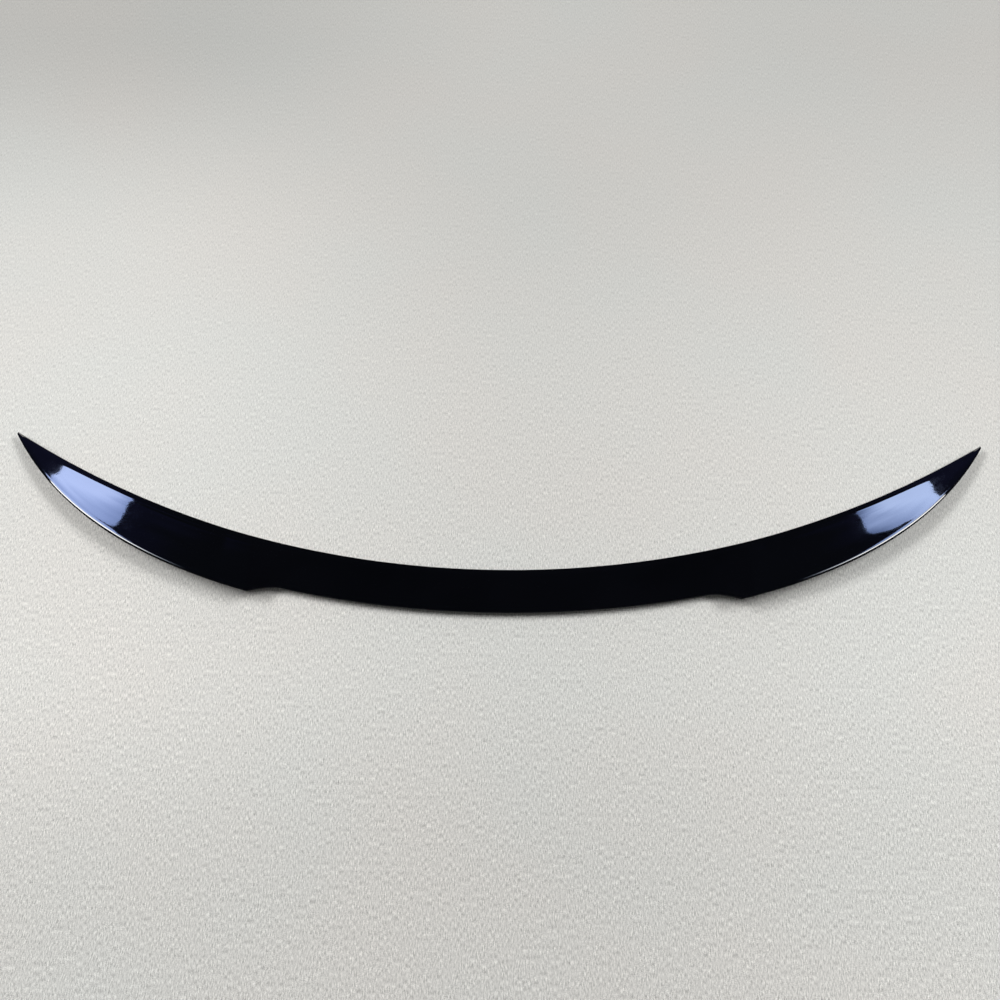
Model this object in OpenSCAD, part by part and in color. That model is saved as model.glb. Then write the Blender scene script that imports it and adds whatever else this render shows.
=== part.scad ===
// Boot lid lip spoiler: one gloss black moulding, with foam tape and its release liner still on
// the underside. It lies as on a floor: X runs across the car with the right side positive,
// Y points to the front of the car and Z up. All sizes are in millimetres.

/* [Plan] */
// Distance from tip to tip
span = 1230; // [1100:5:1400]
// How far the tips lie ahead of the front edge at the middle
sweep = 178; // [150:1:210]
// Share of the sweep that grows with the fourth power and bends the ends more
sweep_end_share = 0.06; // [0:0.01:0.2]
// Depth from front edge to trailing edge at the middle
middle_depth = 59.5; // [55:0.5:68]
// Extra depth of the middle part where it meets the shoulders
middle_depth_gain = 2; // [0:0.5:4]
// Depth of the wings before they narrow
wing_depth = 82; // [76:1:96]
// Power that keeps the wings deep for longer before they narrow
wing_power = 6.6; // [4.5:0.1:8]
// Root that rounds the trailing edge into the tip
wing_root = 0.98; // [0.8:0.01:1]
// Depth left at the tip
tip_depth = 4.5; // [2:0.1:6]

/* [Shoulders] */
// Distance from the middle to where the trailing edge starts to step out
ramp_start = 254.5; // [220:0.5:265]
// Length of the step along the trailing edge
ramp_length = 36; // [32:1:60]
// Power of the step, which makes its outer corner the sharper one
ramp_power = 1.7; // [1.2:0.1:2.4]
// How far the crease of the step leans inwards for each millimetre ahead of the trailing edge
ramp_slant = 0.6; // [0:0.05:0.8]

/* [Heights] */
// Height of the trailing lip over its seat at the middle
middle_rise = 14; // [13:0.5:20]
// Height of the trailing lip over its seat on the wings
wing_rise = 31; // [26:0.5:38]
// Height left at the tip
tip_rise = 3.6; // [3:0.1:6]
// Power that keeps the wings high for longer before they drop
rise_power = 4; // [3:0.1:6]
// Root that rounds the drop to the tip
rise_root = 0.7; // [0.6:0.01:1]
// Power of the hollow upper surface at the middle
middle_hollow = 1.6; // [1.2:0.05:2]
// Power of the hollow upper surface on the wings
wing_hollow = 1.25; // [1.1:0.05:1.8]
// Distance from the middle to where the seat starts to climb
flat_half = 331; // [325:1:345]
// Climb of the seat towards the tips in degrees
end_tilt = 1.6; // [0:0.1:3]

/* [Edges] */
// Thickness that the upper surface starts from at the front
front_t = 3; // [2.8:0.1:4]
// Width of the steeper land along the front edge
land_w = 8.5; // [6:0.5:12]
// Extra drop of the land, from the crease behind it to the front edge
land_drop = 1.6; // [1:0.1:1.8]
// Thickness at the very front edge
edge_t = 0.7; // [0.5:0.1:0.9]
// Width of the roll at the very front edge
edge_w = 2; // [1:0.5:3]
// Width of the roll at the trailing lip
lip_w = 5; // [3:0.5:7]
// Drop of the roll at the trailing lip
lip_drop = 3.2; // [2:0.1:4]
// Radius under the trailing lip
lip_under = 1.4; // [0.8:0.1:2]
// How far the rear face is hollowed on the wings
rear_scoop = 3; // [0:0.5:5]

/* [Underside] */
// How far the trailing lip stands out behind the heel in the middle part
middle_undercut = 8.5; // [6:0.5:11]
// Part of the wing's depth that the seat takes
wing_seat_share = 0.74; // [0.68:0.01:0.8]
// Distance from the middle to where the heel starts to change to that of the wings
seat_change_start = 235; // [220:5:260]
// Length over which the heel changes
seat_change_length = 85; // [60:5:120]
// Wall of the moulding
wall = 3; // [2.4:0.1:3.4]
// Width of the front flange that carries tape
flange_w = 15; // [13:0.5:17]
// Width of the rear ledge that carries tape
ledge_w = 12; // [11:0.5:13]
// Height of the rear ledge, which the ribs also stay clear of the seat by
ledge_t = 3; // [2.5:0.1:3.5]
// Solid stretch between the trailing lip and the hollow
lip_solid = 9; // [8:0.5:11]
// Solid stretch at each tip
tip_solid = 85; // [75:1:100]
// Distance between ribs
rib_pitch = 75; // [50:1:100]
// Thickness of a rib
rib_t = 2; // [1.5:0.1:3]

/* [Tape] */
// Width of the foam tape
tape_w = 9; // [8:0.5:10]
// Thickness of the foam tape
tape_t = 1.1; // [0.8:0.1:1.6]
// Thickness of the release liner
liner_t = 0.2; // [0.1:0.05:0.3]
// How far the liner's cut ends stand past the tape
liner_end = 1; // [0:0.5:2]
// Distance from the front edge to the front tape
front_inset = 3; // [2.5:0.5:4]
// Distance from the heel to the rear tape
rear_inset = 1.5; // [1:0.5:2]
// Gap between two strips in a row
strip_gap = 9; // [6:0.5:12]
// Half length of the middle strips
middle_strip_half = 106; // [90:1:120]
// Distance from the tip to the end of the front row
front_row_gap = 59; // [50:1:85]
// Distance from the tip to the end of the rear row
rear_row_gap = 95; // [90:1:125]

/* [Hidden] */
body_colour = [0.03, 0.03, 0.035];
tape_colour = [0.3, 0.3, 0.31];
liner_colour = [0.72, 0.1, 0.09];
half = span / 2;
// Height of the seat over the floor, which is the tape with its liner
stack = tape_t + liner_t;
// The plan is drawn from the front edge at the middle, and this brings its centre to the origin
plan_shift = (sweep - middle_depth) / 2;
ramp_end = ramp_start + ramp_length;
// The crease reaches furthest inwards at the front edge
crease_start = ramp_start - ramp_slant * middle_depth;
hollow_end = half - tip_solid;
// Steps along half of the part, in its middle, over the shoulder, beside it, on the wing and at
// the tip
middle_steps = 15;
ramp_steps = 15;
shoulder_steps = 3;
wing_steps = 13;
tip_steps = 10;
// The stations crowd towards the tip by this power
tip_crowding = 1.7;
// Points of the roll at each edge, of the land, of the upper surface behind it, of the rear face
// and of the ceiling of the hollow
roll_steps = 4;
land_steps = 2;
top_steps = 8;
heel_steps = 4;
ceiling_steps = 7;
strip_steps = 10;
// The land, a roll or a radius takes at most these parts of a narrow section
roll_share = 0.35;
drop_share = 0.45;
// The roll of the front edge takes at most this part of the land
edge_share = 0.5;
// Towards the tips the ledge and the flange each take this part of the seat
flat_share = 0.45;

function clamp01(t) = min(max(t, 0), 1);
function mix(a, b, t) = a + (b - a) * t;
function ease(t) = let (k = clamp01(t)) k * k * (3 - 2 * k);
function across(x) = clamp01(abs(x) / half);

// Front edge in plan, and its slope
function front_y(x) =
    let (u = across(x))
    sweep * ((1 - sweep_end_share) * u * u + sweep_end_share * pow(u, 4));
function front_slope(x) =
    let (u = across(x))
    sweep / half * (2 * (1 - sweep_end_share) * u + 4 * sweep_end_share * pow(u, 3));
// Length along Y of a band of width w that follows the front edge
function along_y(w, x) = w * sqrt(1 + pow(front_slope(x), 2));

// How far the step of the shoulder has come, at a part s of the depth
function step_at(x, s) =
    let (lead = ramp_slant * (1 - s) * middle_depth)
    pow(clamp01((abs(x) - ramp_start + lead) / ramp_length), ramp_power);

function wing_depth_at(x) = mix(tip_depth, wing_depth, pow(1 - pow(across(x), wing_power), wing_root));
function middle_depth_at(x) = middle_depth + middle_depth_gain * pow(abs(x) / ramp_start, 2);
function depth(x) = mix(middle_depth_at(x), wing_depth_at(x), step_at(x, 1));

function wing_rise_at(x) = mix(tip_rise, wing_rise, pow(1 - pow(across(x), rise_power), rise_root));
function rise(x) = mix(middle_rise, wing_rise_at(x), step_at(x, 1));

// Height of the seat, flat in the middle and climbing straight to the tips
function seat_z(x) = stack + max(0, abs(x) - flat_half) * tan(end_tilt);
function seat_depth(x) = mix(
    middle_depth_at(x) - middle_undercut,
    wing_depth_at(x) * wing_seat_share,
    ease((abs(x) - seat_change_start) / seat_change_length)
);

// Drop of an elliptic roll of width w and drop h, at the distance d from the edge
function roll(d, w, h) = d >= w ? 0 : h * (1 - sqrt(max(0, 1 - pow(1 - d / w, 2))));
function land_w_at(x) = min(land_w, roll_share * depth(x));
function edge_w_at(x) = min(edge_w, edge_share * land_w_at(x));
function lip_w_at(x) = min(lip_w, roll_share * depth(x));
function lip_drop_at(x) = min(lip_drop, drop_share * rise(x));

// Height over the seat of a hollow sweep up to a rise, at a part s of the depth
function sweep_up(rise, hollow, s) = front_t + (rise - front_t) * pow(s, hollow);

// Upper surface: a steeper land along the front edge, then a hollow sweep from the land's crease
// up to the trailing lip, with a roll at both edges. The sweep of the middle turns into that of
// the wings over the step.
function top_z(x, s) =
    let (
        d = depth(x),
        behind = s * d,
        low = sweep_up(middle_rise, middle_hollow, behind / middle_depth_at(x)),
        high = sweep_up(wing_rise_at(x), wing_hollow, behind / wing_depth_at(x))
    )
    seat_z(x) + mix(low, high, step_at(x, s))
    - land_drop * max(0, 1 - behind / land_w_at(x))
    - roll(behind, edge_w_at(x), front_t - land_drop - edge_t)
    - roll(d - behind, lip_w_at(x), lip_drop_at(x));

// Places across the depth, from front to rear, close together on the two rolls
function top_places(x) =
    let (d = depth(x), a = edge_w_at(x) / d, crease = land_w_at(x) / d, b = lip_w_at(x) / d)
    [for (i = [0:roll_steps]) a * (1 - cos(90 * i / roll_steps)),
     for (i = [1:land_steps]) mix(a, crease, i / land_steps),
     for (i = [1:top_steps]) mix(crease, 1 - b, i / (top_steps + 1)),
     for (i = [roll_steps:-1:0]) 1 - b * (1 - cos(90 * i / roll_steps))];

// Rear face, from the radius under the lip down and forward to the heel
function rear_face(x) =
    let (
        front = front_y(x),
        lip_y = front - depth(x),
        lip_z = top_z(x, 1),
        base = seat_z(x),
        under = min(lip_under, drop_share * (lip_z - base)),
        heel_y = front - seat_depth(x),
        start = [lip_y + under, lip_z - under],
        finish = [heel_y, base],
        scoop = rear_scoop * clamp01((heel_y - lip_y) / wing_depth * 4) * step_at(x, 1)
    )
    [for (a = [45, 90]) [lip_y + under * (1 - cos(a)), lip_z - under * sin(a)],
     for (i = [1:heel_steps - 1])
        let (t = i / heel_steps)
        mix(start, finish, t) + [scoop * 4 * t * (1 - t), 0],
     finish];

// Rear wall of the hollow at the height z, one wall ahead of the straight line of the rear face
function rear_wall_y(x, z) =
    let (
        front = front_y(x),
        heel_y = front - seat_depth(x),
        lean = (heel_y - (front - depth(x))) / (top_z(x, 1) - seat_z(x))
    )
    heel_y - lean * (z - seat_z(x)) + (wall + rear_scoop * step_at(x, 1)) * sqrt(1 + lean * lean);

function ceiling_z(x, y) = top_z(x, (front_y(x) - y) / depth(x)) - wall;

// Hollow of the underside, from the inner edge of the rear ledge round to the front flange.
// kind 0 is the open hollow, 1 is closed by a rib and 2 is solid down to the seat.
function hollow(x, kind) =
    let (
        front = front_y(x),
        base = seat_z(x),
        ledge_z = base + ledge_t,
        seat = seat_depth(x),
        ledge_y = front - seat + min(along_y(ledge_w, x), flat_share * seat),
        flange_y = front - min(along_y(flange_w, x), flat_share * seat),
        ceiling_y = front - depth(x) + lip_solid,
        corner = [ledge_y, ledge_z],
        flange_top = [flange_y, ceiling_z(x, flange_y)],
        flange_end = [flange_y, min(flange_top.y, ledge_z)],
        wall_foot = [min(rear_wall_y(x, ledge_z), ledge_y - 1), ledge_z],
        seat_rear = [ledge_y, base],
        seat_front = [flange_y, base]
    )
    kind == 2 ? [for (i = [0:ceiling_steps + 3]) seat_rear, seat_front, seat_front]
    : kind == 1 ? [seat_rear, for (i = [0:ceiling_steps + 2]) corner, flange_end, seat_front]
    : [seat_rear, corner, wall_foot,
       for (i = [0:ceiling_steps - 1])
          let (y = mix(ceiling_y, flange_y, i / ceiling_steps))
          [y, ceiling_z(x, y)],
       flange_top, flange_end, seat_front];

// One closed section as points in space
function section(x, kind) =
    let (
        front = front_y(x),
        d = depth(x),
        top = [for (s = top_places(x)) [front - s * d, top_z(x, s)]],
        outline = concat([[front, seat_z(x)]], top, rear_face(x), hollow(x, kind))
    )
    [for (p = outline) [x, p.x - plan_shift, p.y]];

function sorted(list) =
    len(list) < 2 ? list
    : let (pivot = list[0])
    concat(
        sorted([for (v = list) if (v < pivot) v]),
        [pivot],
        sorted([for (v = list) if (v > pivot) v])
    );

// Stations of one half, and the middles of its ribs
ribs = [for (x = [rib_pitch:rib_pitch:hollow_end - rib_pitch / 2]) x];
stations = [
    for (i = [1:middle_steps]) crease_start * i / middle_steps,
    for (i = [1:ramp_steps]) mix(crease_start, ramp_end, i / ramp_steps),
    for (i = [1:shoulder_steps]) mix(ramp_end, flat_half, i / shoulder_steps),
    for (i = [1:wing_steps - 1]) mix(flat_half, hollow_end, i / wing_steps)
];
free_stations = [for (x = stations) if (min([for (r = ribs) abs(x - r)]) > rib_t) x];
rib_faces = [for (r = ribs) each [r - rib_t / 2, r + rib_t / 2]];
rib_starts = [for (r = ribs) r - rib_t / 2];
tip_stations = [for (i = [1:tip_steps]) mix(half, hollow_end, pow(1 - i / tip_steps, tip_crowding))];

// Kinds of section to set at a station, in order from the middle outwards
function kinds_at(x) =
    len([for (r = rib_starts) if (r == x) r]) > 0 ? [0, 1]
    : len([for (r = rib_faces) if (r == x) r]) > 0 ? [1, 0]
    : [0];

right_rings = [
    [rib_t / 2, 1],
    [rib_t / 2, 0],
    for (x = sorted(concat(free_stations, rib_faces))) for (k = kinds_at(x)) [x, k],
    for (k = [0:2]) [hollow_end, k],
    for (x = tip_stations) [x, 2]
];
rings = concat(
    [for (i = [len(right_rings) - 1:-1:0]) [-right_rings[i][0], right_rings[i][1]]],
    right_rings
);

function mean(list) = [for (p = list) 1] * list / len(list);

// Skin through a list of rings with the same number of points, closed at both ends round a
// point in the middle of the end section
module loft(sections) {
    n = len(sections[0]);
    last = len(sections) - 1;
    start_centre = n * len(sections);
    end_centre = start_centre + 1;
    points = concat([for (ring = sections) each ring], [mean(sections[0]), mean(sections[last])]);
    sides = [
        for (i = [0:last - 1]) for (j = [0:n - 1])
            let (a = i * n + j, b = i * n + (j + 1) % n, c = b + n, d = a + n)
            each [[a, c, b], [a, d, c]]
    ];
    ends = [
        for (j = [0:n - 1])
            let (k = (j + 1) % n)
            each [[start_centre, j, k], [end_centre, last * n + k, last * n + j]]
    ];
    // A triangle with two corners in one place has no area and is left out
    faces = [
        for (f = concat(sides, ends))
            let (a = points[f[0]], b = points[f[1]], c = points[f[2]])
            if (a != b && b != c && c != a) f
    ];
    polyhedron(points, faces);
}

module spoiler_body() {
    color(body_colour)
        loft([for (r = rings) section(r[0], r[1])]);
}

// Centre line of a row of tape: row 0 runs behind the front edge and row 1 before the heel
function row_y(x, row) =
    row == 0 ? front_y(x) - along_y(front_inset + tape_w / 2, x)
    : front_y(x) - seat_depth(x) + along_y(rear_inset + tape_w / 2, x);

// Flat strip that follows a row from x = a to x = b
module strip(a, b, row, thickness) {
    places = [for (i = [0:strip_steps]) mix(a, b, i / strip_steps)];
    linear_extrude(thickness)
        polygon([
            for (x = places) [x, row_y(x, row) - along_y(tape_w / 2, x) - plan_shift],
            for (i = [strip_steps:-1:0])
                let (x = places[i])
                [x, row_y(x, row) + along_y(tape_w / 2, x) - plan_shift]
        ]);
}

// What lies under the climbing part of the seat turns about the line where the climb starts
module climbing() {
    translate([flat_half, 0, stack])
        rotate([0, -end_tilt, 0])
            translate([-flat_half, 0, -stack])
                children();
}

// Foam tape, with its place set by the part of the row: 0 middle, 1 inner and 2 outer.
// more is what the cut ends are longer by.
module piece(row, part, z, thickness, more) {
    inner = middle_strip_half + strip_gap;
    hinge_in = flat_half - strip_gap / 2;
    hinge_out = flat_half + strip_gap / 2;
    row_end = half - (row == 0 ? front_row_gap : rear_row_gap);
    translate([0, 0, z]) {
        if (part == 0) strip(-middle_strip_half - more, middle_strip_half + more, row, thickness);
        if (part == 1) strip(inner - more, hinge_in + more, row, thickness);
        if (part == 2) strip(hinge_out - more, row_end + more, row, thickness);
    }
}

module tape(row, part) {
    color(tape_colour)
        piece(row, part, liner_t, tape_t, 0);
}

module liner(row, part) {
    color(liner_colour)
        piece(row, part, 0, liner_t, liner_end);
}

// The left pieces mirror the right ones
module left() {
    mirror([1, 0, 0]) children();
}

spoiler_body();
tape(0, 0);  // tape_front_middle
left() tape(0, 1);  // tape_front_left_inner
tape(0, 1);  // tape_front_right_inner
left() climbing() tape(0, 2);  // tape_front_left_outer
climbing() tape(0, 2);  // tape_front_right_outer
tape(1, 0);  // tape_rear_middle
left() tape(1, 1);  // tape_rear_left_inner
tape(1, 1);  // tape_rear_right_inner
left() climbing() tape(1, 2);  // tape_rear_left_outer
climbing() tape(1, 2);  // tape_rear_right_outer
liner(0, 0);  // liner_front_middle
left() liner(0, 1);  // liner_front_left_inner
liner(0, 1);  // liner_front_right_inner
left() climbing() liner(0, 2);  // liner_front_left_outer
climbing() liner(0, 2);  // liner_front_right_outer
liner(1, 0);  // liner_rear_middle
left() liner(1, 1);  // liner_rear_left_inner
liner(1, 1);  // liner_rear_right_inner
left() climbing() liner(1, 2);  // liner_rear_left_outer
climbing() liner(1, 2);  // liner_rear_right_outer
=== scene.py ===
"""Looks of the boot lid lip spoiler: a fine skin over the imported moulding, the finish of its tape and
release liner, the pale cloth that it lies on, and the light and camera of the photograph. Sizes are in
metres in the part's own frame, apart from the moulding's and the camera's, which are in millimetres."""

import math

import bpy
import numpy as np
from mathutils import Matrix, Vector


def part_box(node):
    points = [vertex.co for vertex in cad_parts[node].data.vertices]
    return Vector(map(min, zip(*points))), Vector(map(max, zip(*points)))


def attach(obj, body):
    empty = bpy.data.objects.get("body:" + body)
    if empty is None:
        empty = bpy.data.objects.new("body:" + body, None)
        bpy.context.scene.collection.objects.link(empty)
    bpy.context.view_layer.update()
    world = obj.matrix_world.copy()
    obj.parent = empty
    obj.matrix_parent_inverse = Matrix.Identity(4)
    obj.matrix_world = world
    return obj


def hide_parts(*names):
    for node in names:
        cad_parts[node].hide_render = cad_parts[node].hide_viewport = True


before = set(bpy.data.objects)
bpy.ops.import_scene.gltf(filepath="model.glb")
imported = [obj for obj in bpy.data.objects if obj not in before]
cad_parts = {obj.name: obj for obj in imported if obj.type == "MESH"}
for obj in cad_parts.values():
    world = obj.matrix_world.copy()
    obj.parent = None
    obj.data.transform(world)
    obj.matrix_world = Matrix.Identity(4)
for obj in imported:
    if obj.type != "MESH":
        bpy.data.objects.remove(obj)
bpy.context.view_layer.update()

MM = 0.001

# Plan of the moulding, as in the part's source
SPAN = 1230  # from tip to tip
SWEEP = 178  # how far the tips lie ahead of the front edge at the middle
SWEEP_END_SHARE = 0.06  # share of the sweep that grows with the fourth power
MIDDLE_DEPTH = 59.5  # from the front edge to the trailing edge at the middle
MIDDLE_DEPTH_GAIN = 2  # extra depth where the middle meets the shoulders
WING_DEPTH = 82  # of the wings before they narrow
WING_POWER = 6.6  # keeps the wings deep for longer
WING_ROOT = 0.98  # rounds the trailing edge into the tip
TIP_DEPTH = 4.5  # left at the tip

# Shoulders
RAMP_START = 254.5  # from the middle to where the trailing edge starts to step out
RAMP_LENGTH = 36  # of the step along the trailing edge
RAMP_POWER = 1.7  # makes the outer corner of the step the sharper one
RAMP_SLANT = 0.6  # how far the crease of the step leans inwards for each millimetre ahead of that edge

# Heights
MIDDLE_RISE = 14  # of the trailing lip over its seat at the middle
WING_RISE = 31  # of the trailing lip over its seat on the wings
TIP_RISE = 3.6  # left at the tip
RISE_POWER = 4  # keeps the wings high for longer
RISE_ROOT = 0.7  # rounds the drop to the tip
MIDDLE_HOLLOW = 1.6  # power of the hollow upper surface at the middle
WING_HOLLOW = 1.25  # power of the hollow upper surface on the wings
FLAT_HALF = 331  # from the middle to where the seat starts to climb
END_TILT = 1.6  # climb of the seat towards the tips in degrees
STACK = 1.3  # thickness of the tape with its liner

# Edges
FRONT_T = 3  # thickness that the upper surface starts from at the front
LAND_W = 8.5  # width of the steeper land along the front edge
LAND_DROP = 1.6  # extra drop of the land
EDGE_T = 0.7  # thickness at the very front edge
EDGE_W = 2  # width of the roll at the very front edge
LIP_W = 5  # width of the roll at the trailing lip
LIP_DROP = 3.2  # drop of the roll at the trailing lip
LIP_UNDER = 1.4  # radius under the trailing lip
REAR_SCOOP = 3  # how far the rear face is hollowed on the wings
FULL_SCOOP_SHARE = 0.25  # overhang of the lip, as a share of the wing's depth, at which that hollow is full

# Underside
MIDDLE_UNDERCUT = 8.5  # how far the trailing lip stands out behind the heel in the middle part
WING_SEAT_SHARE = 0.74  # part of the wing's depth that the seat takes
SEAT_CHANGE_START = 235  # from the middle to where the heel starts to change to that of the wings
SEAT_CHANGE_LENGTH = 85  # over which the heel changes
WALL = 3  # thickness of the walls
FLANGE_W = 15  # width of the front flange
LEDGE_W = 12  # width of the rear ledge
LEDGE_T = 3  # height of the rear ledge
FOOT_GAP = 1  # least width of the ledge ahead of the rear wall
LIP_SOLID = 9  # between the trailing lip and the hollow
TIP_SOLID = 85  # at each tip
RIB_PITCH = 75  # from the middle of one rib to the next
RIB_T = 2  # thickness of a rib

# Largest parts of a narrow section that the land or a roll, a drop or radius, the roll of the front edge
# and the ledge or flange each take
ROLL_SHARE = 0.35
DROP_SHARE = 0.45
EDGE_SHARE = 0.5
FLAT_SHARE = 0.45

HALF = SPAN / 2
PLAN_SHIFT = (SWEEP - MIDDLE_DEPTH) / 2
HOLLOW_END = HALF - TIP_SOLID

# This skin softens the crease behind the land over this share of the land's width
CREASE_SOFTNESS = 0.07

# Points of a section on the front roll, the land, the surface behind it, the lip, the radius under the lip,
# the rear face and the ceiling of the hollow
EDGE_POINTS = 7
LAND_POINTS = 9
SWEEP_POINTS = 30
LIP_POINTS = 13
UNDER_POINTS = 5
REAR_POINTS = 10
CEILING_POINTS = 16

# Spacing of the sections in the middle, over the shoulder and on the wing in millimetres, and their number
# at the tip
MIDDLE_STEP = 3.2
RAMP_STEP = 1.0
WING_STEP = 3.0
TIP_SECTIONS = 56
RIB_CLEARANCE = 1.5  # least distance of any other section from the middle of a rib

# Powers by which points crowd to the crease from the land and from behind, and sections to the tip
LAND_CROWDING = 1.6
SWEEP_CROWDING = 1.3
TIP_CROWDING = 1.7

SHARP_ANGLE = 34  # least angle in degrees between faces whose edge stays sharp
JOINED_DECIMALS = 6  # of a millimetre, to which points in one place agree

# Kinds of section: open underneath, closed by a rib, or solid down to the seat
OPEN, RIB, SOLID = range(3)

# Weave of the cloth and how light it is
THREADS_PER_METRE = 800
THREAD_STRETCH = 4  # length of a thread's uneven parts as a multiple of their width
THREAD_SHARE = 0.6  # of the weave, and the rest is specks
SPECKS_PER_THREAD = 1.3
PATCHES_PER_METRE = 90
CLOTH_LEVEL = 0.655

# Share of a slope by which clouds change the light of a panel
PANEL_CLOUDS = 0.3

# Dim room that the gloss mirrors beside the panels
ROOM = (0.008, 0.010, 0.016)

FLOOR_HALF = 6.0
FLOOR_Z = -0.05 * MM

# Two windows on the wall ahead of the part, which the wings mirror as pale patches. Points are (x, z).
WINDOW_WALL_Y = 1.4
LEFT_WINDOW = [
    (-0.780, 0.970), (-0.759, 0.927), (-0.734, 0.874), (-0.704, 0.816), (-0.661, 0.736),
    (-0.642, 0.704), (-0.631, 0.691), (-0.617, 0.678), (-0.618, 0.725), (-0.620, 0.759),
    (-0.609, 0.767), (-0.610, 0.782), (-0.621, 0.829), (-0.636, 0.887), (-0.663, 0.982),
    (-0.680, 1.040), (-0.694, 1.110), (-0.750, 1.120), (-0.780, 1.270), (-1.050, 1.270),
    (-0.850, 1.020),
]
RIGHT_WINDOW = [
    (0.640, 1.070), (0.634, 1.039), (0.611, 0.946), (0.588, 0.858), (0.578, 0.814),
    (0.578, 0.794), (0.587, 0.767), (0.595, 0.750), (0.594, 0.737), (0.596, 0.685),
    (0.625, 0.732), (0.664, 0.801), (0.693, 0.861), (0.722, 0.930), (0.755, 1.000),
    (0.745, 1.120), (0.648, 1.120),
]

# Two white ceiling strips, which the rolled trailing lip mirrors as a thin line. Their slanted outer edge
# ends that line short of the tip. Its points are (x, y) with x counted outwards from the middle.
STRIP_Z = 1.0
STRIP_START, STRIP_END = 0.28, 1.0
STRIP_OUTER_EDGE = [(1.60, 0.28), (1.60, 0.41), (1.32, 0.58), (1.13, 0.76), (0.98, 1.0)]

# Dim blue wall behind the windows, which the tips mirror
WALL_GAP = 0.02  # behind the windows
WALL_START, WALL_END, WALL_TOP = 0.5, 1.3, 1.1
WALL_FULL = 0.68  # from here outwards it has its full colour

# Dark card over the middle, which keeps the shoulder steps from mirroring the far windows
CARD_HALF, CARD_START, CARD_END, CARD_Z = 0.36, -0.25, 0.65, 0.3

# Painted shade on the floor that only the gloss shows: a dark card from just behind the heel backwards and
# beside the tips, in place of the shaded floor that the lip and the tips' edge mirror
LOW_CARD_Z = 0.3 * MM
BEHIND_GAP = 0.5 * MM
BEHIND_DEPTH = 160 * MM
BEHIND_STATIONS = 83
BESIDE_GAP = 1.5 * MM
BESIDE_END, BESIDE_REAR, BESIDE_FRONT = 1.3, -0.35, 0.2

# Soft lamp on each side, given for the right side
LAMP_PLACE = (3.0, 0.35, 3.7)
LAMP_SIZE = (2.0, 1.3)

# Soft fill from all around, its gain towards the front, and the pale ground that the camera sees
FILL_LEVEL = 0.16
FILL_FRONT_GAIN = 0.05
FILL_COLOUR = (1.0, 1.0, 0.995)
PALE_GROUND = (0.62, 0.62, 0.6)

# Camera that was fitted to the outline in the photograph, in pixels, millimetres and degrees
FRAME_PIXELS = 1000
FOCAL_PIXELS = 1090
SENSOR = 36
CAMERA_ELEVATION = 63.008
CAMERA_YAW = -1.118
CAMERA_ROLL = -0.121
CAMERA_DISTANCE = 1366.95
CAMERA_TARGET = (4.71, 36.85, 0)
CLIP_START, CLIP_END = 0.05, 50  # metres


# Surfaces of the moulding, in millimetres, with y counted from the front edge at the middle


def mix(a, b, t):
    return a + (b - a) * t


def clamp01(t):
    return min(max(t, 0), 1)


def ease(t):
    k = clamp01(t)
    return k * k * (3 - 2 * k)


def across(x):
    """Distance from the middle as a share of the way to the tip."""
    return min(abs(x) / HALF, 1)


def front_y(x):
    u = across(x)
    return SWEEP * ((1 - SWEEP_END_SHARE) * u * u + SWEEP_END_SHARE * u**4)


def front_slope(x):
    u = across(x)
    return SWEEP / HALF * (2 * (1 - SWEEP_END_SHARE) * u + 4 * SWEEP_END_SHARE * u**3)


def along_y(width, x):
    """Length along Y of a band of this width that follows the front edge."""
    return width * math.sqrt(1 + front_slope(x) ** 2)


def step_at(x, s):
    """How far the step of the shoulder has come, at parts s of the depth."""
    lead = RAMP_SLANT * (1 - s) * MIDDLE_DEPTH
    return np.clip((abs(x) - RAMP_START + lead) / RAMP_LENGTH, 0, 1) ** RAMP_POWER


def wing_depth_at(x):
    return mix(TIP_DEPTH, WING_DEPTH, (1 - across(x) ** WING_POWER) ** WING_ROOT)


def middle_depth_at(x):
    return MIDDLE_DEPTH + MIDDLE_DEPTH_GAIN * (x / RAMP_START) ** 2


def depth(x):
    return mix(middle_depth_at(x), wing_depth_at(x), step_at(x, 1))


def wing_rise_at(x):
    return mix(TIP_RISE, WING_RISE, (1 - across(x) ** RISE_POWER) ** RISE_ROOT)


def seat_z(x):
    return STACK + max(0, abs(x) - FLAT_HALF) * math.tan(math.radians(END_TILT))


def seat_depth(x):
    change = ease((abs(x) - SEAT_CHANGE_START) / SEAT_CHANGE_LENGTH)
    return mix(middle_depth_at(x) - MIDDLE_UNDERCUT, wing_depth_at(x) * WING_SEAT_SHARE, change)


def heel_y(x):
    return front_y(x) - seat_depth(x)


def roll(distance, width, drop):
    """Drop of an elliptic roll at distances from its edge."""
    inside = np.clip(1 - distance / width, 0, 1)
    return drop * (1 - np.sqrt(1 - inside**2))


def land_width(x):
    return min(LAND_W, ROLL_SHARE * depth(x))


def edge_width(x):
    return min(EDGE_W, EDGE_SHARE * land_width(x))


def lip_width(x):
    return min(LIP_W, ROLL_SHARE * depth(x))


def lip_drop(x):
    return min(LIP_DROP, DROP_SHARE * mix(MIDDLE_RISE, wing_rise_at(x), step_at(x, 1)))


def sweep_up(rise, power, s):
    return FRONT_T + (rise - FRONT_T) * s**power


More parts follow.
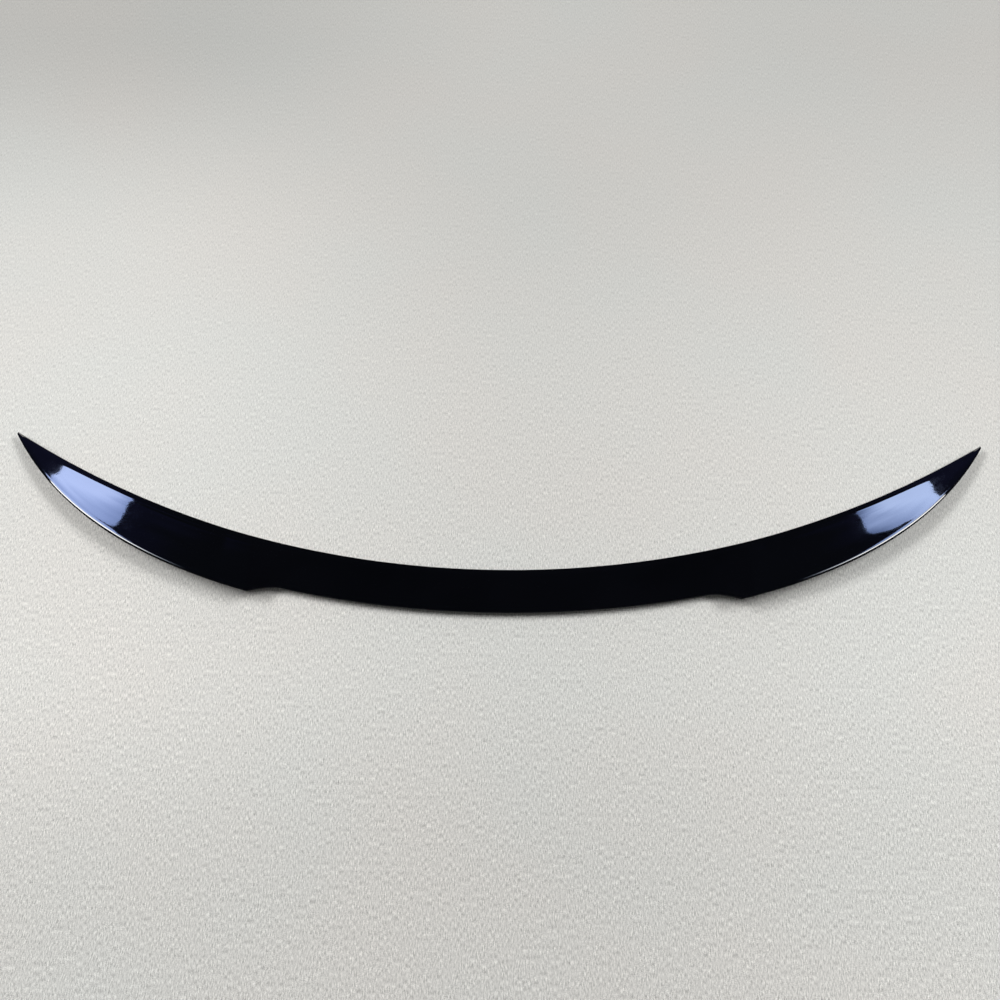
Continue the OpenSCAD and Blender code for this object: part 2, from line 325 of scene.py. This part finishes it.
def top_z(x, s):
    """Height of the upper surface at parts s of the depth."""
    s = np.asarray(s, float)
    d = depth(x)
    behind = s * d
    low = sweep_up(MIDDLE_RISE, MIDDLE_HOLLOW, behind / middle_depth_at(x))
    high = sweep_up(wing_rise_at(x), WING_HOLLOW, behind / wing_depth_at(x))
    ahead_of_crease = 1 - behind / land_width(x)
    soft = (ahead_of_crease + np.sqrt(ahead_of_crease**2 + CREASE_SOFTNESS**2)) / 2
    return (
        seat_z(x)
        + mix(low, high, step_at(x, s))
        - LAND_DROP * soft
        - roll(behind, edge_width(x), FRONT_T - LAND_DROP - EDGE_T)
        - roll(d - behind, lip_width(x), lip_drop(x))
    )


def top_places(x):
    """Places across the depth, close together on the rolls and at the crease."""
    d = depth(x)
    edge, crease, lip = edge_width(x) / d, land_width(x) / d, lip_width(x) / d
    edge_turn = np.linspace(0, math.pi / 2, EDGE_POINTS)
    lip_turn = np.linspace(math.pi / 2, 0, LIP_POINTS)
    from_crease = np.linspace(1, 0, LAND_POINTS + 1)[1:] ** LAND_CROWDING
    behind_crease = np.linspace(0, 1, SWEEP_POINTS + 2)[1:-1] ** SWEEP_CROWDING
    return np.concatenate([
        edge * (1 - np.cos(edge_turn)),
        mix(crease, edge, from_crease),
        mix(crease, 1 - lip, behind_crease),
        1 - lip * (1 - np.cos(lip_turn)),
    ])


def rear_face(x):
    """Rear face, from the radius under the lip down and forward to the heel, as (y, z). Its hollow is a
    parabola that is deepest halfway down."""
    lip_y = front_y(x) - depth(x)
    lip_z = float(top_z(x, 1))
    base = seat_z(x)
    under = min(LIP_UNDER, DROP_SHARE * (lip_z - base))
    overhang = heel_y(x) - lip_y
    scoop = REAR_SCOOP * clamp01(overhang / (FULL_SCOOP_SHARE * WING_DEPTH)) * float(step_at(x, 1))
    turn = np.linspace(0, math.pi / 2, UNDER_POINTS + 1)[1:]
    radius = np.stack([lip_y + under * (1 - np.cos(turn)), lip_z - under * np.sin(turn)], 1)
    t = np.linspace(0, 1, REAR_POINTS + 1)[1:]
    face_y = mix(lip_y + under, heel_y(x), t) + scoop * 4 * t * (1 - t)
    face_z = mix(lip_z - under, base, t)
    return np.concatenate([radius, np.stack([face_y, face_z], 1)])


def ceiling_z(x, y):
    return top_z(x, (front_y(x) - y) / depth(x)) - WALL


def hollow(x, kind):
    """Underside from the rear ledge to the front flange, as (y, z), with as many points for each kind."""
    front, base, seat = front_y(x), seat_z(x), seat_depth(x)
    ledge_z = base + LEDGE_T
    ledge_y = heel_y(x) + min(along_y(LEDGE_W, x), FLAT_SHARE * seat)
    flange_y = front - min(along_y(FLANGE_W, x), FLAT_SHARE * seat)
    flange_z = float(ceiling_z(x, flange_y))
    seat_rear, seat_front = [ledge_y, base], [flange_y, base]
    ledge_corner = [ledge_y, ledge_z]
    flange_end = [flange_y, min(flange_z, ledge_z)]
    if kind == SOLID:
        return np.array([seat_rear] * (CEILING_POINTS + 4) + [seat_front] * 2)
    if kind == RIB:
        return np.array([seat_rear] + [ledge_corner] * (CEILING_POINTS + 3) + [flange_end, seat_front])
    lean = (depth(x) - seat) / (float(top_z(x, 1)) - base)
    thickness = (WALL + REAR_SCOOP * float(step_at(x, 1))) * math.sqrt(1 + lean * lean)
    foot_y = min(heel_y(x) - lean * LEDGE_T + thickness, ledge_y - FOOT_GAP)
    ceiling_ys = mix(front - depth(x) + LIP_SOLID, flange_y, np.arange(CEILING_POINTS) / CEILING_POINTS)
    return np.concatenate([
        [seat_rear, ledge_corner, [foot_y, ledge_z]],
        np.stack([ceiling_ys, ceiling_z(x, ceiling_ys)], 1),
        [[flange_y, flange_z], flange_end, seat_front],
    ])


def section(x, kind):
    """One closed section as points in the part's frame."""
    places = top_places(x)
    top = np.stack([front_y(x) - places * depth(x), top_z(x, places)], 1)
    outline = np.concatenate([[[front_y(x), seat_z(x)]], top, rear_face(x), hollow(x, kind)])
    return np.column_stack([np.full(len(outline), x), outline[:, 0] - PLAN_SHIFT, outline[:, 1]])


# Mesh of the skin


def spread(a, b, step):
    """Places from a to b, with a and without b, about a step apart."""
    return list(np.linspace(a, b, max(1, round((b - a) / step)) + 1)[:-1])


def right_rings():
    """(x, kind) of each section of the right half, from the middle outwards."""
    crease_start = RAMP_START - RAMP_SLANT * MIDDLE_DEPTH
    ramp_end = RAMP_START + RAMP_LENGTH
    free = spread(RIB_T, crease_start, MIDDLE_STEP)
    free += spread(crease_start, ramp_end, RAMP_STEP)
    free += spread(ramp_end, HOLLOW_END, WING_STEP)
    ribs = np.arange(RIB_PITCH, HOLLOW_END - RIB_PITCH / 2, RIB_PITCH)
    rings = [(x, OPEN) for x in free if min(abs(ribs - x)) > RIB_CLEARANCE]
    for rib in ribs:
        inner, outer = rib - RIB_T / 2, rib + RIB_T / 2
        rings += [(inner, OPEN), (inner, RIB), (outer, RIB), (outer, OPEN)]
    rings.sort(key=lambda ring: round(ring[0], JOINED_DECIMALS))
    to_tip = np.linspace(1, 0, TIP_SECTIONS + 1)[1:] ** TIP_CROWDING
    middle_rib = [(RIB_T / 2, RIB), (RIB_T / 2, OPEN)]
    end_wall = [(HOLLOW_END, kind) for kind in (OPEN, RIB, SOLID)]
    return middle_rib + rings + end_wall + [(HALF - TIP_SOLID * t, SOLID) for t in to_tip]


def joined_mesh(name, rings):
    """One closed mesh through rings with the same number of points, capped at both ends. Corners in one
    place are joined, so that no face has a side without length."""
    count = len(rings[0])
    last_ring = (len(rings) - 1) * count
    places = {}
    index = [
        places.setdefault(tuple(np.round(point, JOINED_DECIMALS)), len(places))
        for point in np.concatenate(rings)
    ]

    def face(corners):
        return list(dict.fromkeys(index[corner] for corner in corners))

    faces = []
    for ring in range(0, last_ring, count):
        for j in range(count):
            k = (j + 1) % count
            faces.append(face([ring + j, ring + count + j, ring + count + k, ring + k]))
    faces.append(face(range(count)))
    faces.append(face(range(last_ring, last_ring + count))[::-1])
    mesh = bpy.data.meshes.new(name)
    mesh.from_pydata(
        [tuple(v * MM for v in place) for place in places],
        [],
        [corners for corners in faces if len(corners) > 2],
    )
    mesh.validate()
    return mesh


def spoiler_skin(material):
    right = right_rings()
    rings = [(-x, kind) for x, kind in reversed(right)] + right
    mesh = joined_mesh("spoiler_skin", [section(x, kind) for x, kind in rings])
    low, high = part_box("spoiler_body")
    points = np.zeros(len(mesh.vertices) * 3)
    mesh.vertices.foreach_get("co", points)
    points = np.clip(points.reshape(-1, 3), np.array(low), np.array(high))
    mesh.vertices.foreach_set("co", points.ravel())
    mesh.polygons.foreach_set("use_smooth", [True] * len(mesh.polygons))
    mesh.set_sharp_from_angle(angle=math.radians(SHARP_ANGLE))
    mesh.update()
    mesh.materials.append(material)
    skin = bpy.data.objects.new("spoiler_skin", mesh)
    bpy.context.scene.collection.objects.link(skin)
    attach(skin, "root")
    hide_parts("spoiler_body")


def dress_tape(foam, liner):
    """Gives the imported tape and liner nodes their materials."""
    for name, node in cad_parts.items():
        if name == "spoiler_body":
            continue
        for slot in node.material_slots:
            slot.material = foam if name.startswith("tape_") else liner


# Shader nodes


def new_material(name):
    material = bpy.data.materials.new(name)
    material.use_nodes = True
    material.node_tree.nodes.clear()
    return material, material.node_tree


def put(tree, socket, value):
    """Links a value that is a socket, and sets any other."""
    if isinstance(value, bpy.types.NodeSocket):
        tree.links.new(value, socket)
    else:
        socket.default_value = value


def add(tree, kind, settings=None, **inputs):
    """A node with these settings and input values."""
    node = tree.nodes.new(kind)
    for key, value in (settings or {}).items():
        setattr(node, key, value)
    for key, value in inputs.items():
        put(tree, node.inputs[key.replace("_", " ")], value)
    return node


def place_on_object(tree):
    return add(tree, "ShaderNodeTexCoord").outputs["Object"]


def noise(tree, vector, scale, detail):
    return add(tree, "ShaderNodeTexNoise", Vector=vector, Scale=scale, Detail=detail).outputs["Fac"]


def maths(tree, operation, a, b):
    node = add(tree, "ShaderNodeMath", {"operation": operation})
    put(tree, node.inputs[0], a)
    put(tree, node.inputs[1], b)
    return node.outputs[0]


def total(tree, a, b):
    return maths(tree, "ADD", a, b)


def product(tree, a, b):
    return maths(tree, "MULTIPLY", a, b)


def between(tree, value, low, high, start=0.3, end=0.7):
    """Smooth change from low to high while the value goes from start to end, which are by default the ends
    of where a noise mostly lies."""
    ends = {"From_Min": start, "From_Max": end, "To_Min": low, "To_Max": high}
    smooth = {"interpolation_type": "SMOOTHSTEP"}
    return add(tree, "ShaderNodeMapRange", smooth, Value=value, **ends).outputs["Result"]


def blend_colours(tree, factor, a, b):
    node = add(tree, "ShaderNodeMix", {"data_type": "RGBA"})
    sockets = {socket.identifier: socket for socket in node.inputs}
    put(tree, sockets["Factor_Float"], factor)
    put(tree, sockets["A_Color"], (*a, 1))
    put(tree, sockets["B_Color"], (*b, 1))
    return next(socket for socket in node.outputs if socket.identifier == "Result_Color")


def clouded(tree, vector, scale, detail, a, b):
    """Colour that goes from a to b in clouds."""
    return blend_colours(tree, between(tree, noise(tree, vector, scale, detail), low=0, high=1), a, b)


def bump(tree, height, distance, **inputs):
    return add(tree, "ShaderNodeBump", Height=height, Distance=distance, **inputs).outputs["Normal"]


def finish_surface(tree, shader, output="ShaderNodeOutputMaterial"):
    add(tree, output, Surface=shader)


def plastic(tree, **inputs):
    shader = add(tree, "ShaderNodeBsdfPrincipled", **inputs)
    finish_surface(tree, shader.outputs["BSDF"])


# Materials


def gloss_black():
    """Gloss black under a clear coat, with a faint orange peel and the slow waves of a moulding."""
    material, tree = new_material("gloss_black")
    place = place_on_object(tree)
    waves = bump(tree, noise(tree, place, scale=14, detail=1), distance=0.06 * MM)
    peel = bump(tree, noise(tree, place, scale=420, detail=2), distance=0.002 * MM, Normal=waves)
    colour = clouded(tree, place, 9, 3, (0.0011, 0.0013, 0.0019), (0.0016, 0.0018, 0.0027))
    roughness = between(tree, noise(tree, place, scale=60, detail=3), low=0.015, high=0.035)
    plastic(
        tree, Base_Color=colour, Roughness=roughness, IOR=1.5, Normal=peel,
        Coat_Weight=1.0, Coat_Roughness=0.012, Coat_Normal=peel,
    )
    return material


def foam_tape():
    """Matt closed-cell foam with fine pores."""
    material, tree = new_material("foam_tape")
    place = place_on_object(tree)
    cells = add(tree, "ShaderNodeTexVoronoi", Vector=place, Scale=2600).outputs["Distance"]
    colour = clouded(tree, place, 700, 4, (0.06, 0.06, 0.064), (0.115, 0.115, 0.12))
    roughness = between(tree, cells, low=0.8, high=0.95, start=0.0, end=0.6)
    plastic(tree, Base_Color=colour, Roughness=roughness, Normal=bump(tree, cells, distance=0.12 * MM))
    return material


def red_liner():
    """Smooth red release film with slight waves."""
    material, tree = new_material("red_liner")
    place = place_on_object(tree)
    colour = clouded(tree, place, 40, 3, (0.4, 0.02, 0.016), (0.5, 0.03, 0.024))
    roughness = between(tree, noise(tree, place, scale=160, detail=2), low=0.2, high=0.34)
    waves = bump(tree, noise(tree, place, scale=90, detail=2), distance=0.04 * MM)
    plastic(tree, Base_Color=colour, Roughness=roughness, Normal=waves)
    return material


def painted_floor_light(tree, x, y):
    """Painted light and shade on the cloth: a little lighter on both sides of the part and darker at both
    ends.
    """
    left = product(
        tree,
        between(tree, x, low=0.15, high=0, start=-0.55, end=0.05),
        between(tree, y, low=0.35, high=1, start=-0.5, end=-0.2),
    )
    right = product(
        tree,
        between(tree, x, low=0, high=0.11, start=0.05, end=0.6),
        between(tree, y, low=1, high=0.5, start=-0.1, end=0.3),
    )
    far_sides = between(tree, y, low=1, high=-0.8, start=0.42, end=0.88)
    far = between(tree, y, low=0, high=-0.085, start=0.15, end=0.6)
    near = between(tree, y, low=-0.07, high=0, start=-0.42, end=-0.15)
    sides = product(tree, total(tree, left, right), far_sides)
    return total(tree, total(tree, sides, total(tree, far, near)), 1)


def cloth():
    """Pale woven cloth: uneven threads along Y with specks between them, plainer towards the far end, with
    painted light and shade across it.
    """
    material, tree = new_material("cloth")
    place = place_on_object(tree)
    parts = add(tree, "ShaderNodeSeparateXYZ", Vector=place)
    x, y = parts.outputs["X"], parts.outputs["Y"]

    thread_scale = (THREADS_PER_METRE, THREADS_PER_METRE / THREAD_STRETCH, 1)
    along_threads = add(tree, "ShaderNodeMapping", Vector=place, Scale=thread_scale).outputs["Vector"]
    threads = noise(tree, along_threads, scale=1, detail=2)
    specks = noise(tree, place, scale=THREADS_PER_METRE * SPECKS_PER_THREAD, detail=1)
    weave = total(tree, product(tree, threads, THREAD_SHARE), product(tree, specks, 1 - THREAD_SHARE))

    patches = between(tree, noise(tree, place, PATCHES_PER_METRE, detail=1), low=0.8, high=1.2)
    contrast = product(tree, between(tree, y, low=2.4, high=0.85, start=-0.55, end=0.7), patches)
    shade = total(tree, product(tree, maths(tree, "SUBTRACT", weave, 0.5), contrast), 1)
    # The weave's tone, times the painted light and shade across the floor, times the cloth's own level
    brightness = product(tree, product(tree, shade, painted_floor_light(tree, x, y)), CLOTH_LEVEL)
    tone = clouded(tree, place, 3, 2, (1.022, 1.0, 0.955), (0.998, 1.003, 0.965))
    colour = add(tree, "ShaderNodeVectorMath", {"operation": "SCALE"}, Vector=tone, Scale=brightness)
    plastic(
        tree, Base_Color=colour.outputs["Vector"], Roughness=0.95, Specular_IOR_Level=0.0,
        Normal=bump(tree, weave, distance=0.4 * MM, Strength=0.4),
    )
    return material


def along(tree, vector, direction):
    """How far a place lies in a direction."""
    node = add(tree, "ShaderNodeVectorMath", {"operation": "DOT_PRODUCT"}, Vector=vector)
    put(tree, node.inputs[1], direction)
    return node.outputs["Value"]


def glow(name, colours, strengths, slope=None, scale=9):
    """Emission that goes from the first colour and strength to the second in slow clouds, or along a slope
    given as its direction, start and end."""
    material, tree = new_material(name)
    place = place_on_object(tree)
    share = between(tree, noise(tree, place, scale, detail=3), low=0, high=1)
    if slope:
        direction, start, end = slope
        clouds = product(tree, maths(tree, "SUBTRACT", share, 0.5), PANEL_CLOUDS * (end - start))
        distance = total(tree, along(tree, place, direction), clouds)
        share = between(tree, distance, low=0, high=1, start=start, end=end)
    low, high = strengths
    strength = total(tree, product(tree, share, high - low), low)
    colour = blend_colours(tree, share, *colours)
    emission = add(tree, "ShaderNodeEmission", Color=colour, Strength=strength)
    finish_surface(tree, emission.outputs["Emission"])
    return material


# Stage


def stage_mesh(name, points, faces, material):
    mesh = bpy.data.meshes.new(name)
    mesh.from_pydata(points, [], faces)
    mesh.materials.append(material)
    thing = bpy.data.objects.new(name, mesh)
    bpy.context.scene.collection.objects.link(thing)
    return thing


def seen_in_gloss_only(thing):
    thing.visible_camera = thing.visible_diffuse = thing.visible_shadow = False
    thing.visible_transmission = thing.visible_volume_scatter = False


def glossy_panel(name, points, material):
    """A bright or dark shape that only the gloss shows."""
    seen_in_gloss_only(stage_mesh(name, points, [tuple(range(len(points)))], material))


def rectangle(start_a, end_a, start_b, end_b):
    return [(start_a, start_b), (end_a, start_b), (end_a, end_b), (start_a, end_b)]


def outwards(side, fall=0):
    """Direction to one side, falling by this angle in degrees."""
    return (side * math.cos(math.radians(fall)), 0, -math.sin(math.radians(fall)))


def add_floor():
    corners = rectangle(-FLOOR_HALF, FLOOR_HALF, -FLOOR_HALF, FLOOR_HALF)
    stage_mesh("floor", [(x, y, FLOOR_Z) for x, y in corners], [(0, 1, 2, 3)], cloth())


def add_windows():
    left_sky = glow(
        "left_sky", colours=((0.37, 0.51, 1.0), (0.495, 0.61, 1.0)), strengths=(5.1, 9.5),
        slope=(outwards(-1, fall=10.43), 0.455, 0.526),
    )
    right_sky = glow(
        "right_sky", colours=((0.31, 0.47, 1.0), (0.51, 0.64, 1.0)), strengths=(1.0, 8.5),
        slope=(outwards(1, fall=11.95), 0.36, 0.46),
    )
    glossy_panel("left_window", [(x, WINDOW_WALL_Y, z) for x, z in LEFT_WINDOW], left_sky)
    glossy_panel("right_window", [(x, WINDOW_WALL_Y, z) for x, z in RIGHT_WINDOW], right_sky)


def add_strip(name, side, inner, full, outer_shift, strength):
    """Ceiling strip on one side that brightens from its inner edge to where it is full."""
    white = glow(
        name, colours=((0.6, 0.75, 1.0), (1, 1, 1)), strengths=(ROOM[2], strength),
        slope=(outwards(side), inner, full),
    )
    outer_edge = [(x + outer_shift, y) for x, y in STRIP_OUTER_EDGE]
    corners = [(inner, STRIP_START)] + outer_edge + [(inner, STRIP_END)]
    glossy_panel(name, [(side * x, y, STRIP_Z) for x, y in corners], white)


def add_wall(name, side):
    blue = glow(
        name, colours=(ROOM, (0.024, 0.026, 0.085)), strengths=(1, 1),
        slope=(outwards(side), WALL_START, WALL_FULL),
    )
    corners = rectangle(WALL_START, WALL_END, 0, WALL_TOP)
    glossy_panel(name, [(side * x, WINDOW_WALL_Y + WALL_GAP, z) for x, z in corners], blue)


def add_dark_cards():
    """One card over the middle, and a low one that leaves the lower side of the lip and the tips' edge
    dark:
    painted shade in the gloss, in place of the shaded floor there."""
    dark = ((0.006, 0.007, 0.012), (0.009, 0.010, 0.016))
    card = glow("dark_card", colours=dark, strengths=(1, 1), scale=4)
    corners = rectangle(-CARD_HALF, CARD_HALF, CARD_START, CARD_END)
    glossy_panel("dark_card", [(x, y, CARD_Z) for x, y in corners], card)

    # Painted shade: a gloss-only dark sheet on the floor from just behind the heel backwards
    stations = np.linspace(-HALF, HALF, BEHIND_STATIONS)
    near = [(x * MM, (heel_y(x) - PLAN_SHIFT) * MM - BEHIND_GAP, LOW_CARD_Z) for x in stations]
    far = [(x, y - BEHIND_DEPTH, z) for x, y, z in reversed(near)]
    last = len(near) + len(far) - 1
    faces = [(i, i + 1, last - i - 1, last - i) for i in range(len(near) - 1)]
    seen_in_gloss_only(stage_mesh("painted_shade_floor", near + far, faces, card))

    corners = rectangle(HALF * MM + BESIDE_GAP, BESIDE_END, BESIDE_REAR, BESIDE_FRONT)
    for name, side in (("dark_floor_left", -1), ("dark_floor_right", 1)):
        glossy_panel(name, [(side * x, y, LOW_CARD_Z) for x, y in corners], card)


def add_lamp(name, side, share):
    """Soft rectangular lamp aimed at the origin, where it lights a surface that faces it to this share of
    the plain level, an irradiance of pi."""
    light = bpy.data.lights.new(name, "AREA")
    light.shape = "RECTANGLE"
    light.size, light.size_y = LAMP_SIZE
    x, y, z = LAMP_PLACE
    place = Vector((side * x, y, z))
    light.energy = math.pi**2 * place.length_squared * share
    thing = bpy.data.objects.new(name, light)
    thing.location = place
    thing.rotation_mode = "QUATERNION"
    thing.rotation_quaternion = (-place).to_track_quat("-Z", "Y")
    bpy.context.scene.collection.objects.link(thing)
    thing.visible_glossy = False
    thing.visible_camera = False


def background(tree, colour, strength):
    return add(tree, "ShaderNodeBackground", Color=(*colour, 1), Strength=strength).outputs["Background"]


def switch(tree, factor, otherwise, chosen):
    """The chosen shader where the factor is 1."""
    node = add(tree, "ShaderNodeMixShader")
    for socket, value in zip(node.inputs, (factor, otherwise, chosen)):
        put(tree, socket, value)
    return node.outputs["Shader"]


def add_world():
    """A pale ground for the camera, the dim room in the gloss, and a soft fill for the rest."""
    world = bpy.data.worlds.new("studio")
    bpy.context.scene.world = world
    world.use_nodes = True
    tree = world.node_tree
    tree.nodes.clear()
    rays = add(tree, "ShaderNodeLightPath")
    direction = add(tree, "ShaderNodeTexCoord").outputs["Generated"]
    to_front = add(tree, "ShaderNodeSeparateXYZ", Vector=direction).outputs["Y"]
    fill = background(tree, FILL_COLOUR, total(tree, product(tree, to_front, FILL_FRONT_GAIN), FILL_LEVEL))
    room = background(tree, ROOM, 1.0)
    ground = background(tree, PALE_GROUND, 1.0)
    lit = switch(tree, rays.outputs["Is Glossy Ray"], fill, room)
    shown = switch(tree, rays.outputs["Is Camera Ray"], lit, ground)
    finish_surface(tree, shown, "ShaderNodeOutputWorld")


def add_camera():
    elevation, yaw, roll_angle = (math.radians(v) for v in (CAMERA_ELEVATION, CAMERA_YAW, CAMERA_ROLL))
    level = math.cos(elevation)
    forward = Vector((math.sin(yaw) * level, math.cos(yaw) * level, -math.sin(elevation)))
    level_right = forward.cross(Vector((0, 0, 1))).normalized()
    level_up = level_right.cross(forward)
    right = level_right * math.cos(roll_angle) + level_up * math.sin(roll_angle)
    up = level_up * math.cos(roll_angle) - level_right * math.sin(roll_angle)
    lens = bpy.data.cameras.new("camera")
    lens.sensor_width = SENSOR
    lens.lens = FOCAL_PIXELS / FRAME_PIXELS * SENSOR
    lens.clip_start, lens.clip_end = CLIP_START, CLIP_END
    camera = bpy.data.objects.new("camera", lens)
    bpy.context.scene.collection.objects.link(camera)
    camera.rotation_mode = "QUATERNION"
    camera.rotation_quaternion = Matrix((right, up, -forward)).transposed().to_quaternion()
    camera.location = (Vector(CAMERA_TARGET) - forward * CAMERA_DISTANCE) * MM
    bpy.context.scene.camera = camera


spoiler_skin(gloss_black())
dress_tape(foam_tape(), red_liner())

add_floor()
add_windows()
add_strip("left_strip", -1, inner=0.68, full=0.84, outer_shift=0, strength=13)
add_strip("right_strip", 1, inner=0.61, full=0.80, outer_shift=-0.035, strength=11)
add_wall("left_wall", -1)
add_wall("right_wall", 1)
add_dark_cards()
add_lamp("left", -1, share=0.55)
add_lamp("right", 1, share=0.54)
add_world()
add_camera()

bpy.context.scene.view_settings.view_transform = "Standard"
